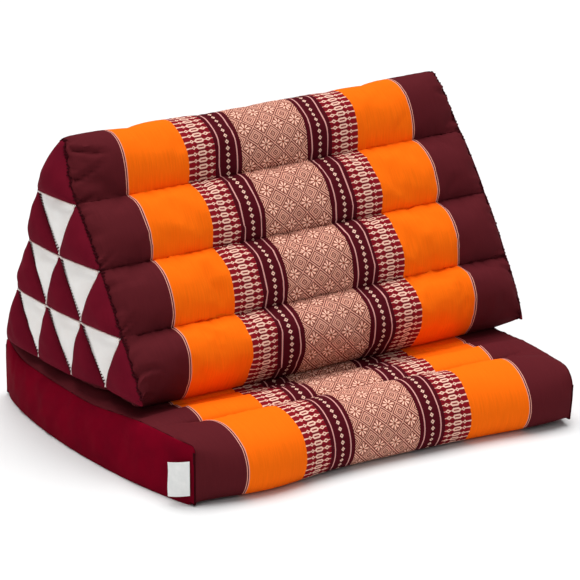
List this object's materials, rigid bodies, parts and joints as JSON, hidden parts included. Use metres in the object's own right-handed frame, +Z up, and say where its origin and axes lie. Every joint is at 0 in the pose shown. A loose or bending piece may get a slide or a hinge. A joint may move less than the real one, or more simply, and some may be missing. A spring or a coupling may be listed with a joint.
{
  "type": "thai triangle cushion",
  "caption": "Three-sided back-rest cushion in sewn channels, with pieced triangle ends, joined at its rear edge to a channelled seat mat folded under it.",
  "frame": {"origin": "middle of the bounding box at the height of the surface that the mat lies on", "axes": "+X along the cushion's width to its right end as seen from the front, -Y towards the mat's free front edge, +Z up to the wedge's ridge"},
  "size_m": [0.5413, 0.4323, 0.328],
  "materials": {
    "woven_stripe_cotton": "matt",
    "crimson_cotton": "matt",
    "white_cotton": "matt",
    "tag_satin": "satin"
  },
  "bodies": {
    "root": {"wedge": "woven_stripe_cotton", "mat": "woven_stripe_cotton", "left_band": "crimson_cotton", "right_band": "crimson_cotton", "hinge_strip": "woven_stripe_cotton", "tag": "tag_satin", "left_row1_crimson1": "crimson_cotton", "left_row2_crimson1": "crimson_cotton", "left_row2_crimson2": "crimson_cotton", "left_row2_white1": "white_cotton", "left_row3_crimson1": "crimson_cotton", "left_row3_crimson2": "crimson_cotton", "left_row3_crimson3": "crimson_cotton", "left_row3_white1": "white_cotton", "left_row3_white2": "white_cotton", "left_row4_crimson1": "crimson_cotton", "left_row4_crimson2": "crimson_cotton", "left_row4_crimson3": "crimson_cotton", "left_row4_crimson4": "crimson_cotton", "left_row4_white1": "white_cotton", "left_row4_white2": "white_cotton", "left_row4_white3": "white_cotton", "right_row1_crimson1": "crimson_cotton", "right_row2_crimson1": "crimson_cotton", "right_row2_crimson2": "crimson_cotton", "right_row2_white1": "white_cotton", "right_row3_crimson1": "crimson_cotton", "right_row3_crimson2": "crimson_cotton", "right_row3_crimson3": "crimson_cotton", "right_row3_white1": "white_cotton", "right_row3_white2": "white_cotton", "right_row4_crimson1": "crimson_cotton", "right_row4_crimson2": "crimson_cotton", "right_row4_crimson3": "crimson_cotton", "right_row4_crimson4": "crimson_cotton", "right_row4_white1": "white_cotton", "right_row4_white2": "white_cotton", "right_row4_white3": "white_cotton"}
  },
  "joints": []
}
